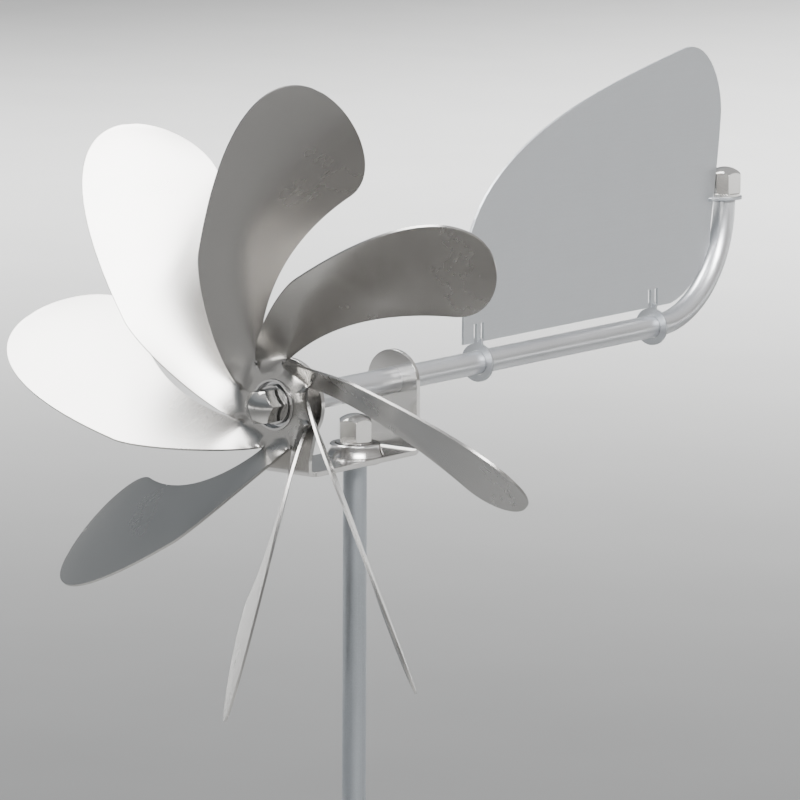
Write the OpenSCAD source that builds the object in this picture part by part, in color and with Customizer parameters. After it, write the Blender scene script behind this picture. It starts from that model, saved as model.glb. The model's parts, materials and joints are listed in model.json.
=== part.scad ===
// Garden wind spinner: a sheet rotor and a leaf-shaped wind vane on a head that turns on a ground pole.
// Millimetres. +Z is up, the origin is on the pole's axis at ground level, the rotor faces -Y.

/* [Overall] */
// Height of the rotor axis above the ground
axis_h = 1100; // [700:10:1500]
// Length of the pole below the ground
ground_depth = 200; // [120:10:300]
// Diameter of the pole and of the tail rod
rod_d = 10; // [9.6:0.1:10.4]

/* [Rotor] */
// Radius of the blade tips
blade_tip_r = 135; // [110:1:165]
// Number of blades
blade_count = 8; // [5:1:8]
// Thickness of the rotor sheet
rotor_t = 1; // [0.8:0.1:1.2]

/* [Head] */
// Distance from the pole axis to the front face of the front ear
ear_front_y = 45; // [43:0.5:60]
// Distance from the pole axis to the back face of the rear ear
ear_rear_y = 27; // [25:0.5:40]
// Thickness of the bracket sheet
bracket_t = 2; // [1.5:0.1:2.4]
// Width of the bracket's bottom plate
bracket_w = 26; // [25:0.5:34]
// Height of the rotor axis above the underside of the bracket
bracket_drop = 30.2; // [30:0.2:40]

/* [Tail] */
// Distance from the pole axis to the upright end of the tail rod
tail_y = 267.5; // [255:0.5:300]
// Bend radius of the tail rod, to its centre line
tail_bend_r = 50; // [42:1:51]
// Height of the vane's top above the rotor axis
vane_top = 122; // [110:1:150]
// Thickness of the vane sheet
vane_t = 1.2; // [0.8:0.1:1.6]

/* [Bearings and threads] */
// Diameter of the threaded ends and bore of the bearings
stud_d = 8; // [7.9:0.02:8.04]
// Outer diameter of the ball bearings
bearing_od = 19; // [19:0.1:19.6]
// Width of the ball bearings
bearing_w = 6; // [5.4:0.1:6.2]

/* [Hidden] */
$fn = 64;
fit_gap = 0.05;
steel = "silver";
polished = "gainsboro";

// cap nut
nut_flats = 13;
nut_h = 11.8;
nut_r = nut_flats / 2 / cos(30);
nut_dome_r = 10.5;
nut_chamfer = 0.7;
nut_bore_depth = 10;
washer_t = 1.4;
hub_washer_t = 2.2;
stud_r = stud_d / 2;
rod_r = rod_d / 2;
stud_in_nut = nut_bore_depth - 1;
stud_reach = washer_t + stud_in_nut;

// ball bearing
ball_r = 1.5;
ball_count = 8;
bearing_r = bearing_od / 2;
pitch_r = (stud_r + bearing_r) / 2;
race_gap = 1.1;
groove_gap = 0.04;
inner_ring_r = pitch_r - race_gap;
outer_ring_ri = pitch_r + race_gap;
shield_seat_r = outer_ring_ri + 0.45;
shield_t = 0.3;
washer_d = 2 * shield_seat_r - 0.6;
shield_inset = 0.3;
seat_depth = shield_t + shield_inset;
cage_t = 0.7;
cage_w = 3.6;
ball_clear = 0.08;
housing_wall = 1.1;
housing_r = bearing_r + housing_wall;
lip_r = shield_seat_r + 0.2;

// heights in the yaw stack, above the ground
plate_low_z = axis_h - bracket_drop;
yaw_low_z = plate_low_z + 0.4;
yaw_top_z = yaw_low_z + bearing_w;
yaw_lip_t = 1;
flare = 1.2;
circlip_t = 0.8;
circlip_gap = 0.1;
housing_skirt = circlip_t + circlip_gap + 0.5;
support_washer_t = 1.6;
support_washer_r = inner_ring_r + 0.1;
pole_top_z = yaw_low_z - support_washer_t;
point_len = 40;
point_tip_r = 0.8;

// distances along the rotor axis, behind (+) or in front of (-) the pole axis
ear_face_y = -ear_front_y;
hub_spacer_t = 1;
hub_spacer_r = inner_ring_r + 0.1;
hub_rear_y = ear_face_y - hub_spacer_t;
hub_front_y = hub_rear_y - bearing_w;
sheet_back_y = hub_front_y - 0.7;
hub_flange_r = 15;
hub_flange_t = 1.5;
hub_lip_t = 0.6;
hub_spigot_out = 2.4;

// bracket
bend_r = 3;
front_ear_r = 18.3;
ear_foot_half = 11.6;
rear_ear_r = bracket_w / 2;
plate_corner_r = 3;

// tail
tail_stud_base_z = 51.5;
eyelet_r = 8.3;
eyelet_hole_r = rod_r + 0.2;
eyelet_neck_w = 5;
vane_low = 8.8;
eyelet_ys = [84, 212];
slot_w = 2.2;
slot_h = 8;
vane_front_y = 73.5;
vane_bend_gap = 3;

// rotor blades: control points are [along the blade, behind the sheet, towards the leading side]
root_reach = 17.6;
root_turn = 45;
blade_step = 360 / blade_count;
hub_disc_r = root_reach / cos(blade_step / 2);
notch_r = 1.4;
root_overlap = 1.5;
blade_rows = 22;
blade_cols = 6;
blade_phase = 5.9;
blade_scale = blade_tip_r / 135;
lead_root = [7.3, 0, 17.6];
lead_a = blade_scale * [19.7, -13.8, 18.4];
lead_b = blade_scale * [53.9, -25.7, 15.2];
tip_a = blade_scale * [189.8, -34.9, -34.8];
tip_b = blade_scale * [98.6, 31.9, -57.4];
trail_b = blade_scale * [56.9, -9.5, 1.4];
trail_a = blade_scale * [17.7, 4.7, 6.9];
trail_root = [17.6, 0, 7.3];
// the straight edges run into the rounded tip without a corner
lead_end = lead_b + 0.08 * (tip_a - lead_b);
trail_end = tip_b + 0.38 * (trail_b - tip_b);
tip_share = 0.5;
tip_stop = 0.465;
blade_camber = 1.2;

// ---------- shared shapes ----------

// Runs the children in the frame of a stack along the rotor axis, with local +Z towards -Y
module on_rotor_axis(y) {
    translate([0, y, axis_h]) rotate([90, 0, 0]) children();
}

module ring(r_out, r_in, h) {
    rotate_extrude() translate([r_in, 0]) square([r_out - r_in, h]);
}

// Low dome cap nut, seat at z = 0, with a blind bore: the dome cuts arcs across the hexagon's flats
module cap_nut() {
    wide = nut_r + 1;
    difference() {
        intersection() {
            cylinder(r = nut_r, h = nut_h, $fn = 6);
            translate([0, 0, nut_h - nut_dome_r]) sphere(r = nut_dome_r);
            rotate_extrude() polygon([
                [0, 0], [nut_r - nut_chamfer, 0], [wide, 0.6 * (nut_chamfer + 1)],
                [wide, nut_h + 1], [0, nut_h + 1]
            ]);
        }
        translate([0, 0, -1]) cylinder(r = stud_r + fit_gap, h = nut_bore_depth + 1);
    }
}

module plain_washer(r_out, h) {
    ring(r_out, stud_r + fit_gap, h);
}

// Ball bearing pieces, bottom face at z = 0
module groove() {
    translate([0, 0, bearing_w / 2]) rotate_extrude()
        translate([pitch_r, 0]) circle(r = ball_r + groove_gap);
}

module bearing_inner_ring() {
    difference() {
        ring(inner_ring_r, stud_r + fit_gap, bearing_w);
        groove();
    }
}

module bearing_outer_ring() {
    difference() {
        ring(bearing_r - 0.02, outer_ring_ri, bearing_w);
        groove();
        translate([0, 0, -1]) cylinder(r = shield_seat_r, h = 1 + seat_depth);
        translate([0, 0, bearing_w - seat_depth]) cylinder(r = shield_seat_r, h = 1 + seat_depth);
    }
}

module bearing_ball_at(i) {
    rotate([0, 0, i * 360 / ball_count]) translate([pitch_r, 0, bearing_w / 2]) children();
}

module bearing_balls() {
    for (i = [0 : ball_count - 1]) bearing_ball_at(i) sphere(r = ball_r);
}

module bearing_cage() {
    difference() {
        translate([0, 0, (bearing_w - cage_w) / 2])
            ring(pitch_r + cage_t / 2, pitch_r - cage_t / 2, cage_w);
        for (i = [0 : ball_count - 1]) bearing_ball_at(i) rotate([0, 90, 0])
            cylinder(r = ball_r + ball_clear, h = 4 * cage_t, center = true);
    }
}

module bearing_shield() {
    ring(shield_seat_r - 0.02, inner_ring_r + 0.25, shield_t);
}

module lower_shield() {
    translate([0, 0, shield_inset]) bearing_shield();
}

module upper_shield() {
    translate([0, 0, bearing_w - shield_inset - shield_t]) bearing_shield();
}

// ---------- pole and yaw stack ----------

module ground_pole() {
    color(steel) rotate_extrude() polygon([
        [0, -ground_depth], [point_tip_r, -ground_depth], [rod_r, point_len - ground_depth],
        [rod_r, pole_top_z - 0.5], [rod_r - 0.5, pole_top_z], [stud_r, pole_top_z],
        [stud_r, yaw_top_z + stud_reach - 0.5], [stud_r - 0.5, yaw_top_z + stud_reach],
        [0, yaw_top_z + stud_reach]
    ]);
}

module yaw_support_washer() {
    color(steel) translate([0, 0, pole_top_z]) plain_washer(support_washer_r, support_washer_t);
}

module at_yaw_bearing() {
    translate([0, 0, yaw_low_z]) children();
}

module yaw_bearing_inner_ring() { color(steel) at_yaw_bearing() bearing_inner_ring(); }
module yaw_bearing_outer_ring() { color(steel) at_yaw_bearing() bearing_outer_ring(); }
module yaw_bearing_balls() { color(steel) at_yaw_bearing() bearing_balls(); }
module yaw_bearing_cage() { color("goldenrod") at_yaw_bearing() bearing_cage(); }
module yaw_bearing_upper_shield() { color(steel) at_yaw_bearing() upper_shield(); }
module yaw_bearing_lower_shield() { color(steel) at_yaw_bearing() lower_shield(); }

// Turned cup pressed through the bracket's plate, flared where it stands on it, with a lip over the bearing
module yaw_bearing_housing() {
    low = yaw_low_z - housing_skirt;
    groove_low = yaw_low_z - circlip_gap - circlip_t;
    seat = plate_low_z + bracket_t;
    top = yaw_top_z + yaw_lip_t;
    flare_low = seat + 0.4;
    flare_high = top - 0.5;
    steps = 8;
    color(polished) rotate_extrude() polygon(concat(
        [[bearing_r, low], [housing_r, low], [housing_r, seat], [housing_r + flare, seat]],
        [for (i = [0 : steps]) let (t = i / steps)
            [housing_r + flare * (1 - t) * (1 - t), flare_low + t * (flare_high - flare_low)]],
        [[housing_r - 0.5, top], [lip_r, top], [lip_r, yaw_top_z], [bearing_r, yaw_top_z],
            [bearing_r, groove_low + circlip_t], [bearing_r + 0.4, groove_low + circlip_t],
            [bearing_r + 0.4, groove_low], [bearing_r, groove_low]]
    ));
}

// Snap ring under the bearing's outer ring, with a gap at one side
module yaw_bearing_circlip() {
    color("dimgray") translate([0, 0, yaw_low_z - circlip_gap - circlip_t]) difference() {
        ring(bearing_r + 0.35, bearing_r - 1.5, circlip_t);
        translate([0, -2, -1]) cube([bearing_od, 4, circlip_t + 2]);
    }
}

module pole_washer() {
    color(polished) translate([0, 0, yaw_top_z]) plain_washer(washer_d / 2, washer_t);
}

module pole_cap_nut() {
    color(polished) translate([0, 0, yaw_top_z + washer_t]) rotate([0, 0, 12]) cap_nut();
}

// ---------- head ----------

// Side profile of the bracket: a U with rounded bends, as [y, z]
module bracket_profile() {
    tall = bracket_drop + 40;
    length = ear_front_y + ear_rear_y;
    difference() {
        union() {
            translate([-ear_front_y, bend_r]) square([length, tall]);
            translate([-ear_front_y + bend_r, 0]) square([length - 2 * bend_r, bend_r + 1]);
            for (y = [-ear_front_y + bend_r, ear_rear_y - bend_r])
                translate([y, bend_r]) circle(r = bend_r);
        }
        inner_r = bend_r - bracket_t;
        inner_l = length - 2 * bracket_t;
        translate([-ear_front_y + bracket_t, bend_r]) square([inner_l, tall + 1]);
        translate([-ear_front_y + bend_r, bracket_t]) square([length - 2 * bend_r, bend_r]);
        for (y = [-ear_front_y + bend_r, ear_rear_y - bend_r])
            translate([y, bend_r]) circle(r = inner_r);
    }
}

// Front view of the front ear: a round head that tapers down to a narrower foot
module front_ear_outline() {
    shoulder_a = 38;
    shoulder_x = front_ear_r * cos(shoulder_a);
    shoulder_z = -front_ear_r * sin(shoulder_a);
    foot_z = -bracket_drop - 1;
    circle(r = front_ear_r);
    polygon([
        [-shoulder_x, shoulder_z], [-ear_foot_half, 7 - bracket_drop], [-ear_foot_half, foot_z],
        [ear_foot_half, foot_z], [ear_foot_half, 7 - bracket_drop], [shoulder_x, shoulder_z]
    ]);
}

module rear_ear_outline() {
    circle(r = rear_ear_r);
    translate([-rear_ear_r, -bracket_drop - 1]) square([2 * rear_ear_r, bracket_drop + 1]);
}

// Plan view of the bottom plate, rounded where it narrows to the front ear's foot
module plate_outline() {
    half = bracket_w / 2;
    corner_y = -ear_front_y + bend_r + plate_corner_r;
    translate([-half, corner_y]) square([bracket_w, ear_rear_y - corner_y]);
    translate([-ear_foot_half, -ear_front_y]) square([2 * ear_foot_half, corner_y + ear_front_y + 1]);
    for (side = [-1, 1]) translate([side * (half - plate_corner_r), corner_y]) circle(r = plate_corner_r);
}

module ear_region(y_from, y_to) {
    translate([0, y_to, axis_h]) rotate([90, 0, 0]) linear_extrude(y_to - y_from) children();
}

module bracket() {
    color(polished) difference() {
        intersection() {
            translate([-30, 0, plate_low_z]) rotate([90, 0, 90]) linear_extrude(60) bracket_profile();
            union() {
                ear_region(-ear_front_y - 1, 0.5 - ear_front_y + bracket_t) front_ear_outline();
                ear_region(ear_rear_y - bend_r - 1, ear_rear_y + 1) rear_ear_outline();
                translate([0, 0, plate_low_z - 1]) linear_extrude(bend_r + 1) plate_outline();
            }
        }
        translate([0, 0, plate_low_z - 1]) cylinder(r = housing_r, h = bracket_t + 2);
        on_rotor_axis(-ear_front_y + bracket_t + 1) cylinder(r = stud_r + fit_gap, h = bracket_t + 2);
        on_rotor_axis(ear_rear_y + 1) cylinder(r = rod_r + fit_gap, h = bracket_t + 2);
    }
}

module ear_spacer_tube() {
    length = ear_front_y + ear_rear_y - 2 * bracket_t;
    color(steel) on_rotor_axis(ear_rear_y - bracket_t) ring(rod_r + 0.6, rod_r + fit_gap, length);
}

module tail_rod() {
    shoulder_y = -ear_front_y + bracket_t;
    straight = tail_y - tail_bend_r - shoulder_y;
    stud_len = bracket_t + hub_spacer_t + bearing_w + hub_washer_t + stud_in_nut;
    color(steel) union() {
        on_rotor_axis(shoulder_y + straight) cylinder(r = rod_r, h = straight);
        on_rotor_axis(shoulder_y + 1) cylinder(r = stud_r, h = stud_len + 1);
        translate([0, tail_y - tail_bend_r, axis_h + tail_bend_r]) rotate([90, 90, 90])
            rotate_extrude(angle = 90) translate([tail_bend_r, 0]) circle(r = rod_r);
        translate([0, tail_y, axis_h + tail_bend_r])
            cylinder(r = rod_r, h = tail_stud_base_z - tail_bend_r);
        translate([0, tail_y, axis_h + tail_stud_base_z - 1])
            cylinder(r = stud_r, h = vane_t + stud_reach + 1);
    }
}

module hub_spacer_ring() {
    color(steel) on_rotor_axis(ear_face_y) plain_washer(hub_spacer_r, hub_spacer_t);
}

module at_hub_bearing() {
    on_rotor_axis(hub_rear_y) children();
}

module hub_bearing_inner_ring() { color(steel) at_hub_bearing() bearing_inner_ring(); }
module hub_bearing_outer_ring() { color(steel) at_hub_bearing() bearing_outer_ring(); }
module hub_bearing_balls() { color(steel) at_hub_bearing() bearing_balls(); }
module hub_bearing_cage() { color("goldenrod") at_hub_bearing() bearing_cage(); }
module hub_bearing_front_shield() { color(steel) at_hub_bearing() upper_shield(); }
module hub_bearing_rear_shield() { color(steel) at_hub_bearing() lower_shield(); }

module hub_washer() {
    color(polished) on_rotor_axis(hub_front_y) plain_washer(washer_d / 2, hub_washer_t);
}

module hub_cap_nut() {
    color(polished) on_rotor_axis(hub_front_y - hub_washer_t) rotate([0, 0, 6]) cap_nut();
}

// ---------- rotor ----------

// Turned hub: a spigot through the sheet, a flange behind it and a lip behind the bearing
module hub_housing() {
    flange_z = hub_rear_y - sheet_back_y - hub_flange_t;
    color(polished) on_rotor_axis(hub_rear_y) rotate_extrude() polygon([
        [bearing_r, 0], [lip_r, 0], [lip_r, -hub_lip_t], [housing_r, -hub_lip_t],
        [housing_r, flange_z], [hub_flange_r, flange_z], [hub_flange_r, flange_z + hub_flange_t],
        [housing_r, flange_z + hub_flange_t], [housing_r, bearing_w + hub_spigot_out],
        [bearing_r, bearing_w + hub_spigot_out]
    ]);
}

function bezier_at(a, b, c, d, t) = let (s = 1 - t)
    s * s * s * a + 3 * s * s * t * b + 3 * s * t * t * c + t * t * t * d;

// Where the fraction u of the blade lies on the rounded tip, from 0 at the straight edge's end
function tip_at(u) = tip_stop * sin(90 * (u - 1 + tip_share) / tip_share);

// Edges of the blade from the root, u = 0, to the middle of the tip, u = 1
function lead_edge(u) = u < 1 - tip_share
    ? bezier_at(lead_root, lead_a, lead_b, lead_end, u / (1 - tip_share))
    : bezier_at(lead_end, tip_a, tip_b, trail_end, tip_at(u));
function trail_edge(u) = u < 1 - tip_share
    ? bezier_at(trail_root, trail_a, trail_b, trail_end, u / (1 - tip_share))
    : bezier_at(trail_end, tip_b, tip_a, lead_end, tip_at(u));

// Middle surface of the blade: v runs from 0 on the trailing edge to 1 on the leading edge
function blade_mid(u, v) =
    let (
        a = trail_edge(u),
        b = lead_edge(u),
        chord = b - a,
        side = [0, chord[2], -chord[1]] / max(0.01, norm([chord[1], chord[2]]))
    ) a + v * chord + 4 * v * (1 - v) * blade_camber * sin(180 * u) * side;

function blade_normal(u, v) =
    let (
        e = 0.004,
        du = blade_mid(min(1, u + e), v) - blade_mid(max(0, u - e), v),
        dv = blade_mid(u, min(1, v + e)) - blade_mid(u, max(0, v - e)),
        n = cross(dv, du)
    ) u == 0 ? [0, 1, 0] : n / norm(n) * sign(n[1]);

// Grid point of one face: row 0 is a strip inside the hub disc, row 1 the root
function blade_point(row, col, side) =
    let (
        v = col / blade_cols,
        u = max(0, row - 1) / (blade_rows - 1),
        inward = row == 0 ? root_overlap * [-1, 0, -1] / sqrt(2) : [0, 0, 0]
    ) blade_mid(u, v) + inward + (side - 0.5) * rotor_t * blade_normal(u, v);

module blade() {
    n = blade_cols + 1;
    m = (blade_rows + 1) * n;
    grid = [for (side = [0, 1]) for (row = [0 : blade_rows]) for (col = [0 : blade_cols])
        blade_point(row, col, side)];
    rows = [for (i = [0 : blade_rows - 1]) i * n];
    faces = concat(
        [for (i = rows) for (j = [i : i + blade_cols - 1]) each [
            [j, j + 1, j + n + 1], [j, j + n + 1, j + n],
            [m + j, m + j + n + 1, m + j + 1], [m + j, m + j + n, m + j + n + 1]]],
        [for (i = rows) let (k = i + blade_cols) each [
            [i, i + n, m + i + n], [i, m + i + n, m + i],
            [k, m + k + n, k + n], [k, m + k, m + k + n]]],
        [for (j = [0 : blade_cols - 1]) let (k = blade_rows * n + j) each [
            [j, m + j + 1, j + 1], [j, m + j, m + j + 1],
            [k, k + 1, m + k + 1], [k, m + k + 1, m + k]]]
    );
    polyhedron(points = grid, faces = faces);
}

module rotor_blades() {
    first_corner = blade_phase + root_turn + blade_step / 2;
    color("gainsboro") translate([0, sheet_back_y - rotor_t / 2, axis_h]) difference() {
        union() {
            rotate([-90, 0, 0]) rotate([0, 0, -first_corner])
                cylinder(r = hub_disc_r, h = rotor_t, center = true, $fn = blade_count);
            for (k = [0 : blade_count - 1]) rotate([0, -blade_phase - k * blade_step, 0]) blade();
        }
        rotate([90, 0, 0]) cylinder(r = housing_r, h = 4 * rotor_t, center = true);
        for (k = [0 : blade_count - 1]) rotate([0, -first_corner - k * blade_step, 0])
            translate([hub_disc_r, 0, 0]) rotate([90, 0, 0])
                cylinder(r = notch_r, h = 4 * rotor_t, center = true);
    }
}

// ---------- vane ----------

// Points of a curve, without its first one
function bezier(a, b, c, d, n) = [for (i = [1 : n]) bezier_at(a, b, c, d, i / n)];

// Outline in [y, z], z measured from the rotor axis: it follows the inside of the tail rod's bend
function vane_outline() = let (
        bend_y = tail_y - tail_bend_r,
        back_r = tail_bend_r - rod_r - vane_bend_gap,
        arc_from = 26,
        arc_to = asin((tail_bend_r - vane_low) / back_r),
        arc_steps = 8,
        back_z = tail_bend_r - back_r * sin(arc_from),
        back_y = bend_y + back_r * cos(arc_from),
        side_y = tail_y - rod_r + 0.5,
        side_z = vane_top - 34,
        peak_y = vane_front_y + 163,
        front_z = 40
    ) concat(
        [[vane_front_y, vane_low], [vane_front_y, front_z]],
        bezier([vane_front_y, front_z], [vane_front_y + 5, 92], [vane_front_y + 90, 108],
            [peak_y, vane_top], 26),
        bezier([peak_y, vane_top], [peak_y + 18, vane_top + 2], [side_y + 2, side_z + 14],
            [side_y, side_z], 12),
        bezier([side_y, side_z], [side_y - 2, 66], [back_y + 1, back_z + 14], [back_y, back_z], 8),
        [for (i = [1 : arc_steps]) let (a = arc_from + (arc_to - arc_from) * i / arc_steps)
            [bend_y + back_r * cos(a), tail_bend_r - back_r * sin(a)]]
    );

module eyelet(y) {
    translate([0, y + vane_t / 2, axis_h]) rotate([90, 0, 0]) linear_extrude(vane_t) difference() {
        union() {
            circle(r = eyelet_r);
            translate([-eyelet_neck_w / 2, 0]) square([eyelet_neck_w, vane_low + 1.5]);
        }
        circle(r = eyelet_hole_r);
    }
}

module vane() {
    tab_z = axis_h + tail_stud_base_z;
    color("lightgray") difference() {
        union() {
            difference() {
                translate([-vane_t / 2, 0, axis_h]) rotate([90, 0, 90])
                    linear_extrude(vane_t) polygon(vane_outline());
                for (y = eyelet_ys) for (side = [-1, 1])
                    translate([-2, y + side * (slot_w / 2 + 1.4) - slot_w / 2, axis_h + vane_low - 1])
                        cube([4, slot_w, slot_h + 1]);
            }
            for (y = eyelet_ys) eyelet(y);
            translate([0, tail_y, tab_z]) cylinder(r = washer_d / 2, h = vane_t);
            translate([-eyelet_neck_w / 2, tail_y - rod_r - 8.5, tab_z])
                cube([eyelet_neck_w, 8.5, vane_t]);
        }
        translate([0, tail_y, tab_z - 1]) cylinder(r = stud_r + fit_gap, h = vane_t + 2);
    }
}

module vane_washer() {
    color(polished) translate([0, tail_y, axis_h + tail_stud_base_z + vane_t])
        plain_washer(washer_d / 2 - 1, washer_t);
}

module vane_cap_nut() {
    color(polished) translate([0, tail_y, axis_h + tail_stud_base_z + vane_t + washer_t])
        rotate([0, 0, 20]) cap_nut();
}

ground_pole();
yaw_support_washer();
yaw_bearing_inner_ring();
yaw_bearing_balls();
yaw_bearing_cage();
yaw_bearing_outer_ring();
yaw_bearing_upper_shield();
yaw_bearing_lower_shield();
yaw_bearing_housing();
yaw_bearing_circlip();
pole_washer();
pole_cap_nut();
bracket();
ear_spacer_tube();
tail_rod();
hub_spacer_ring();
hub_bearing_inner_ring();
hub_bearing_balls();
hub_bearing_cage();
hub_bearing_outer_ring();
hub_bearing_front_shield();
hub_bearing_rear_shield();
hub_housing();
rotor_blades();
hub_washer();
hub_cap_nut();
vane();
vane_washer();
vane_cap_nut();
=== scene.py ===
"""Looks of the garden wind spinner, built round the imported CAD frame. Metres, +Z up, rotor towards -Y."""
import json
import math

import bmesh
import bpy
import numpy as np
from mathutils import Matrix, Vector


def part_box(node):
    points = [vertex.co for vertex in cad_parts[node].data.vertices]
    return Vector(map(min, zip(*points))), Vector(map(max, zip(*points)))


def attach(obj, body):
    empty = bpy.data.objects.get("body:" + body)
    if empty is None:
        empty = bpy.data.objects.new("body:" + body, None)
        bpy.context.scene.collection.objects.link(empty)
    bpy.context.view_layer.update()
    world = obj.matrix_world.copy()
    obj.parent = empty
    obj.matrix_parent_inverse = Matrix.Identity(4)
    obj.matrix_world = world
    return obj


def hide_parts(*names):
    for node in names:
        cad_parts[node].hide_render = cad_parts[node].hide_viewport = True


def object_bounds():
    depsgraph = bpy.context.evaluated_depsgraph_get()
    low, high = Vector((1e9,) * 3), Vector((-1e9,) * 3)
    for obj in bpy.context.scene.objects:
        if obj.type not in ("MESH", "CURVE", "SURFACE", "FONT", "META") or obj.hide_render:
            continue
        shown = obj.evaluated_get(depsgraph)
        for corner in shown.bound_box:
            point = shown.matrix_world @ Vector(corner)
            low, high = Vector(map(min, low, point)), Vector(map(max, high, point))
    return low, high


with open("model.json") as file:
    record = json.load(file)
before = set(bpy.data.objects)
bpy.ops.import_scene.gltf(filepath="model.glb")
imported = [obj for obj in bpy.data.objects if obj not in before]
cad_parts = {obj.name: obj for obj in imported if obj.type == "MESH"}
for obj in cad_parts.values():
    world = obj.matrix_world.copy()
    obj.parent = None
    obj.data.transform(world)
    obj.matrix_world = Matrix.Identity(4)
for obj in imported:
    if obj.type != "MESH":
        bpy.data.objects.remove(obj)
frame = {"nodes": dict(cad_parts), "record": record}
cad_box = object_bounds()
NODES = frame["nodes"]
COLLECTION = bpy.context.scene.collection

# places read from the frame; the sheet's middle plane lies a set way in front of the hub washer's back face
SHEET_BEFORE_WASHER = 0.0012
washer_lo, washer_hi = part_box("hub_washer")
AXIS_Z = (washer_lo.z + washer_hi.z) / 2
SHEET_Y = washer_hi.y - SHEET_BEFORE_WASHER
rod_lo, rod_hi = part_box("tail_rod")
vane_washer_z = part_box("vane_washer")[0].z
front_ear_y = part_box("bracket")[0].y
FLOOR_Z = cad_box[0].z


# ---------- camera ----------

CAMERA_LENS = 250.2
CAMERA_SENSOR = 36
CAMERA_X = 1.4017
CAMERA_Y = -1.7802
CAMERA_ABOVE_AXIS = 0.3806


def make_camera():
    """Stands in front of the rotor to its right and a little above, and looks slightly down."""
    right = Vector((0.7902, 0.6128, 0.0045))
    back = Vector((0.6035, -0.7795, 0.1678)).normalized()
    up = back.cross(right).normalized()
    right = up.cross(back).normalized()
    data = bpy.data.cameras.new("camera")
    data.sensor_fit = "HORIZONTAL"
    data.sensor_width = CAMERA_SENSOR
    data.lens = CAMERA_LENS
    data.clip_start = 0.05
    data.clip_end = 200
    data.dof.use_dof = False
    cam = bpy.data.objects.new("camera", data)
    COLLECTION.objects.link(cam)
    turn = Matrix((right, up, back)).transposed().to_4x4()
    cam.matrix_world = Matrix.Translation((CAMERA_X, CAMERA_Y, AXIS_Z + CAMERA_ABOVE_AXIS)) @ turn
    bpy.context.scene.camera = cam


make_camera()


# ---------- materials ----------

class Tree:
    """Short calls for building a node tree."""

    def __init__(self, name):
        self.material = bpy.data.materials.new(name)
        self.material.use_nodes = True
        self.tree = self.material.node_tree
        self.tree.nodes.clear()

    def node(self, kind, sockets=None, **props):
        n = self.tree.nodes.new("ShaderNode" + kind)
        for key, value in props.items():
            setattr(n, key, value)
        for key, value in (sockets or {}).items():
            if isinstance(value, bpy.types.NodeSocket):
                self.tree.links.new(value, n.inputs[key])
            else:
                n.inputs[key].default_value = value
        return n

    def math(self, op, a, b=0.0, c=0.0, clamp=False):
        return self.node("Math", {0: a, 1: b, 2: c}, operation=op, use_clamp=clamp).outputs[0]

    def spread(self, value, low, high, to_low, to_high):
        return self.node("MapRange", {"Value": value, "From Min": low, "From Max": high,
                                      "To Min": to_low, "To Max": to_high}).outputs["Result"]

    def noise(self, vector, scale, detail=3.0, rough=0.5):
        return self.node("TexNoise", {"Vector": vector, "Scale": scale, "Detail": detail,
                                      "Roughness": rough}).outputs["Fac"]

    def mix(self, factor, a, b, blend="MIX"):
        # sockets 0, 6 and 7 are the factor and the two colours
        return self.node("Mix", {0: factor, 6: a, 7: b}, data_type="RGBA", blend_type=blend).outputs[2]

    def stretched(self, vector, scale, turn=(0, 0, 0)):
        return self.node("Mapping", {"Vector": vector, "Scale": scale, "Rotation": turn}).outputs[0]


def radial_vector(t, centre, axis):
    """Coordinates for turned parts: they vary only with the radius from an axis and the height along it."""
    place = t.node("TexCoord").outputs["Object"]
    moved = t.node("VectorMath", {0: place, 1: centre}, operation="SUBTRACT").outputs[0]
    mask = (0, 1, 1) if axis == "x" else (1, 0, 1) if axis == "y" else (1, 1, 0)
    flat = t.node("VectorMath", {0: moved, 1: mask}, operation="MULTIPLY").outputs[0]
    radius = t.node("VectorMath", {0: flat}, operation="LENGTH").outputs["Value"]
    parts = t.node("SeparateXYZ", {0: moved})
    height = parts.outputs["xyz".index(axis)]
    return t.node("CombineXYZ", {0: radius, 1: height, 2: 0.0}).outputs[0]


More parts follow.
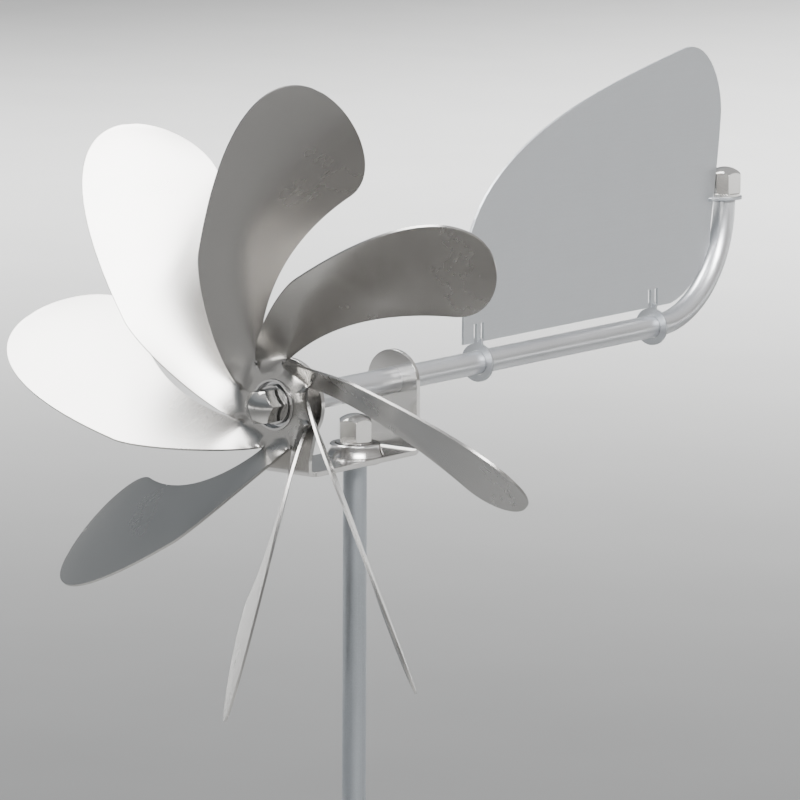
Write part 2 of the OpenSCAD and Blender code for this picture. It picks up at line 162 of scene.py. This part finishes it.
def metal(name, colour, rough, grain_scale, coords="Object", radial=None, grain=0.5, bump=0.12,
          smudge=0.06, speck=0.04, round_r=0.00025, edge=0.35, anisotropic=0.0, tint=None,
          true_edges=False, detail=4.0):
    """A worked metal: grain in the finish, smudges, specks and brighter worn edges."""
    t = Tree(name)
    place = t.node("TexCoord").outputs[coords]
    if radial:
        grain_at = t.stretched(radial_vector(t, *radial), grain_scale)
    else:
        grain_at = t.stretched(place, grain_scale)
    fine = t.noise(grain_at, 1.0, detail, 0.65)
    coarse = t.noise(grain_at, 0.27, 2.0, 0.5)
    lines = t.math("ADD", t.math("MULTIPLY", fine, 0.65), t.math("MULTIPLY", coarse, 0.35))
    clouds = t.noise(place, 28.0, 4.0, 0.6)
    specks = t.noise(place, 1900.0, 2.0, 0.5)
    # rounded edges: the softened normal differs from the true one only near an edge, and a mesh that has
    # its own rounded edges keeps its true normal
    true = t.node("NewGeometry").outputs["Normal"]
    soft = true if true_edges else t.node("Bevel", {"Radius": round_r}, samples=4).outputs[0]
    same = t.node("VectorMath", {0: soft, 1: true}, operation="DOT_PRODUCT").outputs["Value"]
    worn = t.spread(same, 0.995, 0.93, 0.0, 1.0)
    shade = t.math("ADD", t.spread(lines, 0.3, 0.7, 1.0 - 0.16 * grain, 1.0 + 0.1 * grain),
                   t.spread(clouds, 0.3, 0.7, -smudge, smudge * 0.4))
    shade = t.math("ADD", shade, t.spread(specks, 0.35, 0.65, -speck, speck))
    shade = t.math("MULTIPLY_ADD", worn, edge * 0.3, shade)
    grey = t.node("CombineColor", {0: shade, 1: shade, 2: shade}).outputs[0]
    tone = t.mix(1.0, (*colour, 1), grey, "MULTIPLY")
    if tint:
        tone = t.mix(t.spread(clouds, 0.42, 0.68, 0.0, 0.55), tone, (*tint, 1))
    rough_low = rough * (1 - 0.3 * grain)
    rough_high = rough * (1 + 0.3 * grain)
    roughness = t.math("ADD", t.spread(lines, 0.25, 0.75, rough_low, rough_high),
                       t.spread(clouds, 0.3, 0.7, -smudge * 0.5, smudge))
    roughness = t.math("MULTIPLY_ADD", worn, -0.25 * rough, roughness, clamp=True)
    height = t.math("MULTIPLY_ADD", specks, 0.1, lines)
    relief = t.node("Bump", {"Strength": bump, "Distance": 0.00008, "Height": height, "Normal": soft})
    shader = t.node("BsdfPrincipled", {
        "Base Color": tone, "Metallic": 1.0, "Roughness": roughness,
        "Normal": relief.outputs[0], "Anisotropic": anisotropic})
    if anisotropic and coords == "UV":
        tangent = t.node("Tangent", direction_type="UV_MAP").outputs[0]
        t.tree.links.new(tangent, shader.inputs["Tangent"])
    out = t.node("OutputMaterial")
    t.tree.links.new(shader.outputs[0], out.inputs["Surface"])
    return t.material


HUB = (0.0, SHEET_Y, AXIS_Z)
MATERIALS = {
    "pole_steel": metal("pole_steel", (0.46, 0.49, 0.52), 0.40, (1500, 1500, 14), grain=0.7, bump=0.2,
                        smudge=0.10, speck=0.05, tint=(0.38, 0.40, 0.43)),
    "rod_metal": metal("rod_metal", (0.80, 0.81, 0.83), 0.30, (1500, 40, 1), coords="UV", grain=0.25,
                       bump=0.03, smudge=0.05),
    "brushed_sheet": metal("brushed_sheet", (0.42, 0.41, 0.395), 0.26, (30, 800, 1), coords="UV", grain=0.04,
                           bump=0.0, smudge=0.02, speck=0.0, anisotropic=0.3, true_edges=True,
                           detail=0.0),
    "satin_sheet": metal("satin_sheet", (0.60, 0.62, 0.645), 0.40, (1, 60, 3000), grain=0.22, bump=0.06,
                         smudge=0.03, speck=0.02),
    "polished_sheet": metal("polished_sheet", (0.62, 0.61, 0.595), 0.17, (40, 1500, 40), grain=0.2,
                            bump=0.03, smudge=0.04, speck=0.02, round_r=0.0004),
    "polished_fasteners": metal("polished_fasteners", (0.60, 0.59, 0.57), 0.11, (900, 900, 900), grain=0.3,
                                bump=0.04, smudge=0.06, speck=0.03, round_r=0.0004, edge=0.6),
    "bearing_steel": metal("bearing_steel", (0.55, 0.55, 0.56), 0.10, (2600, 300, 1),
                           radial=(HUB, "y"), grain=0.5, bump=0.06),
    "cages": metal("cages", (0.72, 0.53, 0.27), 0.28, (2000, 2000, 2000), grain=0.5),
    "spring_steel": metal("spring_steel", (0.22, 0.22, 0.24), 0.35, (2000, 2000, 2000), grain=0.5),
    "hub_turned": metal("hub_turned", (0.55, 0.54, 0.53), 0.18, (4200, 900, 1), radial=(HUB, "y"),
                        grain=0.7, bump=0.12, round_r=0.0003),
    "yaw_turned": metal("yaw_turned", (0.55, 0.54, 0.53), 0.18, (4200, 900, 1), radial=((0, 0, AXIS_Z), "z"),
                        grain=0.7, bump=0.12, round_r=0.0003),
    "yaw_bearing_steel": metal("yaw_bearing_steel", (0.55, 0.55, 0.56), 0.10, (2600, 300, 1),
                               radial=((0, 0, AXIS_Z), "z"), grain=0.5, bump=0.06),
}

SLOT_OF = {s["node"]: s["material_slot"] for s in frame["record"]["subparts"]}
for name, node in NODES.items():
    kind = SLOT_OF[name]
    if kind == "turned_housings":
        kind = "yaw_turned" if name.startswith("yaw") else "hub_turned"
    if kind == "bearing_steel" and name.startswith("yaw"):
        kind = "yaw_bearing_steel"
    if name == "pole_washer":
        kind = "yaw_turned"
    if name == "hub_washer":
        kind = "hub_turned"
    node.data.materials.clear()
    node.data.materials.append(MATERIALS[kind])


def new_piece(name, mesh, body, slot, *stands_for):
    piece = bpy.data.objects.new(name, mesh)
    COLLECTION.objects.link(piece)
    mesh.materials.append(MATERIALS[slot])
    for p in mesh.polygons:
        p.use_smooth = True
    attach(piece, body)
    if stands_for:
        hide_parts(*stands_for)
    return piece


# ---------- rotor sheet ----------

BLADES = 8
PHASE = 5.9
ROOT_TURN = 45
ROOT = 0.0176
SHEET_T = 0.001
HUB_BORE = 0.0106
NOTCH = 0.0014
GRAIN_TURN = 42
# curve points of one blade, in metres: along it, behind the sheet, and towards the side that leads
LEAD = np.array([[7.3, 0, 17.6], [19.7, -13.8, 18.4], [53.9, -25.7, 15.2]]) / 1000
TIP = np.array([[189.8, -34.9, -34.8], [98.6, 31.9, -57.4]]) / 1000
TRAIL = np.array([[17.6, 0, 7.3], [17.7, 4.7, 6.9], [56.9, -9.5, 1.4]]) / 1000
LEAD = np.vstack([LEAD, LEAD[2] + 0.08 * (TIP[0] - LEAD[2])])
TRAIL = np.vstack([TRAIL, TIP[1] + 0.38 * (TRAIL[2] - TIP[1])])
ROUND = np.vstack([LEAD[3], TIP, TRAIL[3]])
TIP_SHARE = 0.5
TIP_STOP = 0.478
CAMBER = 0.0012
# the part of the blade whose curve its tip follows, and where and how gradually that takes over
CURVE_FROM, CURVE_TO = 0.5, 0.86
TIP_FROM, TIP_BLEND = 0.62, 0.3


def bezier(p, t):
    """Points on a cubic Bezier curve."""
    t = np.asarray(t, float)[..., None]
    s = 1 - t
    return s**3 * p[0] + 3 * s * s * t * p[1] + 3 * s * t * t * p[2] + t**3 * p[3]


def edge_points(u, side, tip):
    """Points along one long edge of the blade and round its half of the tip."""
    straight = bezier(side, np.clip(u / (1 - TIP_SHARE), 0, 1))
    bow = np.clip((u - 1 + TIP_SHARE) / TIP_SHARE, 0, 1)
    rounded = bezier(tip, TIP_STOP * np.sin(np.pi / 2 * bow))
    return np.where((u < 1 - TIP_SHARE)[..., None], straight, rounded)


def blade_surface(u, v):
    """u runs from the root to the tip, v from the trailing edge to the leading edge."""
    a, b = edge_points(u, TRAIL, ROUND[::-1]), edge_points(u, LEAD, ROUND)
    chord = b - a
    side = np.stack([np.zeros_like(u), chord[..., 2], -chord[..., 1]], -1)
    side /= np.maximum(1e-5, np.linalg.norm(side, axis=-1))[..., None]
    bulge = 4 * v * (1 - v) * CAMBER * np.sin(np.pi * u)
    return a + v[..., None] * chord + bulge[..., None] * side


def flatten_tip(points, u):
    """Lets the last stretch of the blade run on in the even curve that its middle has."""
    middle = points[(u > CURVE_FROM) & (u < CURVE_TO)]
    centre = middle.mean(0)
    frame_of = np.linalg.svd(middle - centre, full_matrices=False)[2]

    def terms(q):
        a, b = q[:, 0] * 10, q[:, 1] * 10
        return np.stack([np.ones_like(a), a, b, a * a, a * b, b * b], -1)

    inside = (middle - centre) @ frame_of.T
    curve = np.linalg.lstsq(terms(inside), inside[:, 2], rcond=None)[0]
    local = (points.reshape(-1, 3) - centre) @ frame_of.T
    share = np.clip((u.reshape(-1) - TIP_FROM) / TIP_BLEND, 0, 1)
    share = share * share * (3 - 2 * share)
    local[:, 2] += share * (terms(local) @ curve - local[:, 2])
    return (local @ frame_of + centre).reshape(points.shape)


def turned(points, degrees):
    """Turns points round the rotor's axis."""
    c, s = math.cos(math.radians(degrees)), math.sin(math.radians(degrees))
    x, y, z = points[..., 0], points[..., 1], points[..., 2]
    return np.stack([x * c - z * s, y, x * s + z * c], -1)


def rotor_sheet():
    """Hub disc and blades as one sheet, pressed where they meet, with a relief notch between blades."""
    bm = bmesh.new()
    uv = bm.loops.layers.uv.new("UVMap")
    rows, cols, rings = 84, 26, 7
    step = 360 / BLADES
    corner_r = ROOT / math.cos(math.radians(step / 2))
    corners = [math.radians(PHASE + ROOT_TURN + step / 2 + k * step) for k in range(BLADES)]
    corners = np.array([[corner_r * math.cos(a), corner_r * math.sin(a)] for a in corners])
    v = (1 - np.cos(np.pi * np.linspace(0, 1, cols + 1))) / 2 * 0.5 + np.linspace(0, 1, cols + 1) * 0.5

    def relieved(q):
        """Points inside a relief notch are pushed out to its rim."""
        for c in corners:
            d = q[..., [0, 2]] - c
            r = np.linalg.norm(d, axis=-1)
            close = np.abs(q[..., 1]) < 0.003
            push = np.where((r < NOTCH) & close, NOTCH / np.maximum(r, 1e-6), 1.0)
            q[..., 0] = c[0] + d[..., 0] * push
            q[..., 2] = c[1] + d[..., 1] * push
        return q

    def add_grid(grid):
        verts = [[bm.verts.new(tuple(p)) for p in row] for row in grid]
        for i in range(len(verts) - 1):
            for j in range(len(verts[0]) - 1):
                bm.faces.new((verts[i][j], verts[i][j + 1], verts[i + 1][j + 1], verts[i + 1][j]))

    u = np.linspace(0, 1, rows + 1) ** 1.15
    for k in range(BLADES):
        uu, vv = np.meshgrid(u, v, indexing="ij")
        grid = turned(flatten_tip(blade_surface(uu, vv), uu), PHASE + k * step)
        side = grid[0].copy()
        flat = side[:, [0, 2]]
        inner = flat / np.linalg.norm(flat, axis=1)[:, None] * HUB_BORE
        blend = np.linspace(0, 1, rings + 1)[:, None, None]
        hub = inner + (flat - inner) * blend
        hub = np.stack([hub[..., 0], np.zeros(hub.shape[:2]), hub[..., 1]], -1)
        add_grid(relieved(hub))
        add_grid(relieved(grid))
    bmesh.ops.remove_doubles(bm, verts=bm.verts, dist=2e-6)
    bmesh.ops.dissolve_degenerate(bm, dist=1e-6, edges=bm.edges)

    def relax(inside, times):
        """Softens folds between the fixed rims, as a pressed sheet would bend."""
        loose = [p for p in bm.verts if not p.is_boundary and inside(math.hypot(p.co.x, p.co.z))]
        for _ in range(times):
            bmesh.ops.smooth_vert(bm, verts=loose, factor=0.5, use_axis_x=True, use_axis_y=True,
                                  use_axis_z=True)

    relax(lambda radius: 0.014 < radius < 0.025, 60)
    relax(lambda radius: radius > 0.014, 20)
    bmesh.ops.recalc_face_normals(bm, faces=bm.faces)
    c, s = math.cos(math.radians(GRAIN_TURN)), math.sin(math.radians(GRAIN_TURN))
    for face in bm.faces:
        for loop in face.loops:
            x, z = loop.vert.co.x, loop.vert.co.z
            loop[uv].uv = (x * c + z * s, z * c - x * s)
    bmesh.ops.translate(bm, verts=bm.verts, vec=(0, SHEET_Y, AXIS_Z))
    mesh = bpy.data.meshes.new("rotor_sheet")
    bm.to_mesh(mesh)
    bm.free()
    piece = new_piece("rotor_sheet", mesh, "rotor", "brushed_sheet", "rotor_blades")
    thick = piece.modifiers.new("thickness", "SOLIDIFY")
    thick.thickness = SHEET_T
    thick.offset = 0
    bevel = piece.modifiers.new("edge", "BEVEL")
    bevel.width = 0.0002
    bevel.segments = 2
    bevel.limit_method = "ANGLE"
    bevel.angle_limit = math.radians(50)
    bevel.harden_normals = True


rotor_sheet()


# ---------- tail rod ----------

def swept_rod():
    """The tail rod as rings along its line: stud, straight, bend, upright, stud."""
    rod_r = 0.005
    stud_r = 0.004
    chamfer = 0.0005
    shoulder_round = 0.0003
    bend_r = 0.050
    bracket_t = 0.002
    vane_t = 0.0012
    tail_y = rod_hi.y - rod_r
    shoulder = front_ear_y + bracket_t
    top = vane_washer_z - vane_t
    z0 = AXIS_Z
    rings = []

    def ring(y, z, angle, r, along):
        rings.append((y, z, angle, r, along))

    ring(rod_lo.y, z0, 0, stud_r - chamfer, 0)
    ring(rod_lo.y + chamfer, z0, 0, stud_r, 0.001)
    ring(shoulder, z0, 0, stud_r, 0.03)
    ring(shoulder, z0, 0, rod_r - shoulder_round, 0.031)
    ring(shoulder + shoulder_round, z0, 0, rod_r, 0.0315)
    straight = np.linspace(shoulder + 0.002, tail_y - bend_r, 24)
    for y in straight:
        length = 0.0315 + y - shoulder
        ring(y, z0, 0, rod_r, length)
    for a in np.linspace(0, math.pi / 2, 41)[1:]:
        # the section flattens a little through the bend
        r = rod_r * (1 - 0.012 * math.sin(2 * a))
        ring(tail_y - bend_r + bend_r * math.sin(a), z0 + bend_r - bend_r * math.cos(a), a, r,
             length + bend_r * a)
    length += bend_r * math.pi / 2
    ring(tail_y, top - shoulder_round, math.pi / 2, rod_r, length + 0.001)
    ring(tail_y, top, math.pi / 2, rod_r - shoulder_round, length + 0.0015)
    ring(tail_y, top, math.pi / 2, stud_r, length + 0.002)
    ring(tail_y, rod_hi.z - chamfer, math.pi / 2, stud_r, length + 0.015)
    ring(tail_y, rod_hi.z, math.pi / 2, stud_r - chamfer, length + 0.016)
    sides = 64
    bm = bmesh.new()
    uv = bm.loops.layers.uv.new("UVMap")
    verts = []
    for y, z, angle, r, along in rings:
        out = Vector((0, -math.sin(angle), math.cos(angle)))
        row = []
        for k in range(sides):
            t = 2 * math.pi * k / sides
            p = Vector((0, y, z)) + r * (math.cos(t) * out + math.sin(t) * Vector((1, 0, 0)))
            row.append(bm.verts.new(p))
        verts.append(row)
    for i in range(len(rings) - 1):
        for k in range(sides):
            n = (k + 1) % sides
            face = bm.faces.new((verts[i][k], verts[i + 1][k], verts[i + 1][n], verts[i][n]))
            places = ((k, i), (k, i + 1), (k + 1, i + 1), (k + 1, i))
            for loop, (side, index) in zip(face.loops, places):
                loop[uv].uv = (side / sides * 0.0314, rings[index][4])
    bm.faces.new(list(verts[0]))
    bm.faces.new(list(reversed(verts[-1])))
    bmesh.ops.recalc_face_normals(bm, faces=bm.faces)
    mesh = bpy.data.meshes.new("tail_rod_bar")
    bm.to_mesh(mesh)
    bm.free()
    new_piece("tail_rod_bar", mesh, "head", "rod_metal", "tail_rod")


swept_rod()


# ---------- stage ----------

def make_floor():
    """A wide pale plane under the foot of the pole."""
    bpy.ops.mesh.primitive_plane_add(size=120, location=(0, 0, FLOOR_Z))
    floor = bpy.context.object
    floor.name = "floor"
    t = Tree("floor")
    place = t.node("TexCoord").outputs["Object"]
    soft = t.noise(place, 3.0, 3.0, 0.5)
    grey = t.spread(soft, 0.3, 0.7, 0.44, 0.46)
    colour = t.node("CombineColor", {0: grey, 1: grey, 2: t.math("MULTIPLY", grey, 0.985)}).outputs[0]
    shader = t.node("BsdfPrincipled", {"Base Color": colour, "Roughness": 0.7})
    out = t.node("OutputMaterial")
    t.tree.links.new(shader.outputs[0], out.inputs["Surface"])
    floor.data.materials.append(t.material)


def area_light(name, place, aim, size, power, colour=(1, 1, 1), spread=180):
    data = bpy.data.lights.new(name, "AREA")
    data.shape = "RECTANGLE"
    data.size, data.size_y = size
    data.energy = power
    data.color = colour
    data.spread = math.radians(spread)
    lamp = bpy.data.objects.new(name, data)
    COLLECTION.objects.link(lamp)
    lamp.location = place
    lamp.rotation_euler = (Vector(aim) - Vector(place)).to_track_quat("-Z", "Y").to_euler()


def make_world():
    """A soft studio surround: bright overhead, slate grey low on the left, light and warmer on the right."""
    world = bpy.data.worlds.new("studio")
    bpy.context.scene.world = world
    world.use_nodes = True
    tree = world.node_tree
    tree.nodes.clear()

    def node(kind, sockets=None, **props):
        n = tree.nodes.new("ShaderNode" + kind)
        for key, value in props.items():
            setattr(n, key, value)
        for key, value in (sockets or {}).items():
            if isinstance(value, bpy.types.NodeSocket):
                tree.links.new(value, n.inputs[key])
            else:
                n.inputs[key].default_value = value
        return n

    place = node("TexCoord").outputs["Generated"]
    height = node("SeparateXYZ", {0: place}).outputs[2]

    def wall(stops):
        n = node("ValToRGB", {0: height})
        ramp = n.color_ramp
        ramp.interpolation = "EASE"
        while len(ramp.elements) < len(stops):
            ramp.elements.new(0.5)
        for element, (at, r, g, b) in zip(ramp.elements, stops):
            element.position = at
            element.color = (r, g, b, 1)
        return n.outputs[0]

    left = wall([(0.0, 0.24, 0.25, 0.26), (0.20, 0.22, 0.24, 0.255), (0.42, 0.42, 0.45, 0.48),
                 (0.75, 0.75, 0.76, 0.78)])
    right = wall([(0.0, 0.42, 0.41, 0.40), (0.16, 0.52, 0.51, 0.50), (0.35, 0.8, 0.79, 0.78),
                  (0.75, 0.75, 0.75, 0.76)])
    sideways = node("VectorMath", {0: place, 1: (0.79, 0.61, 0.0)}, operation="DOT_PRODUCT").outputs["Value"]
    share = node("MapRange", {"Value": sideways, "From Min": -0.25, "From Max": 0.55},
                 interpolation_type="SMOOTHSTEP").outputs["Result"]
    both = node("Mix", {0: share, 6: left, 7: right}, data_type="RGBA").outputs[2]
    back = node("Background", {"Color": both, "Strength": 1.0})
    out = node("OutputWorld")
    tree.links.new(back.outputs[0], out.inputs["Surface"])


def seen_from_rotor(azimuth, elevation, distance):
    """A place in that direction from the rotor's middle, azimuth 0 straight in front of it."""
    a, e = math.radians(azimuth), math.radians(elevation)
    return (distance * math.cos(e) * math.sin(a), -distance * math.cos(e) * math.cos(a),
            AXIS_Z + distance * math.sin(e))


make_floor()
make_world()
middle = (0, 0, AXIS_Z)
area_light("overhead", seen_from_rotor(-62, 68, 3.0), middle, (2.4, 2.2), 44, spread=70)
area_light("front_right", seen_from_rotor(58, 35, 3.0), middle, (2.3, 1.0), 28, spread=70)
# a ring of wide lamps over the far floor keeps the background pale all round, dimmer in front of the rotor
for k, share in enumerate((0.5, 0.9, 1.0, 1.0, 1.0, 1.0, 0.8, 0.5)):
    a = math.radians(22.5 + 45 * k)
    place = (11.5 * math.sin(a), -11.5 * math.cos(a), FLOOR_Z + 3.5)
    area_light(f"background_{k}", place, (place[0], place[1], FLOOR_Z), (7, 7), 950 * share, spread=115)
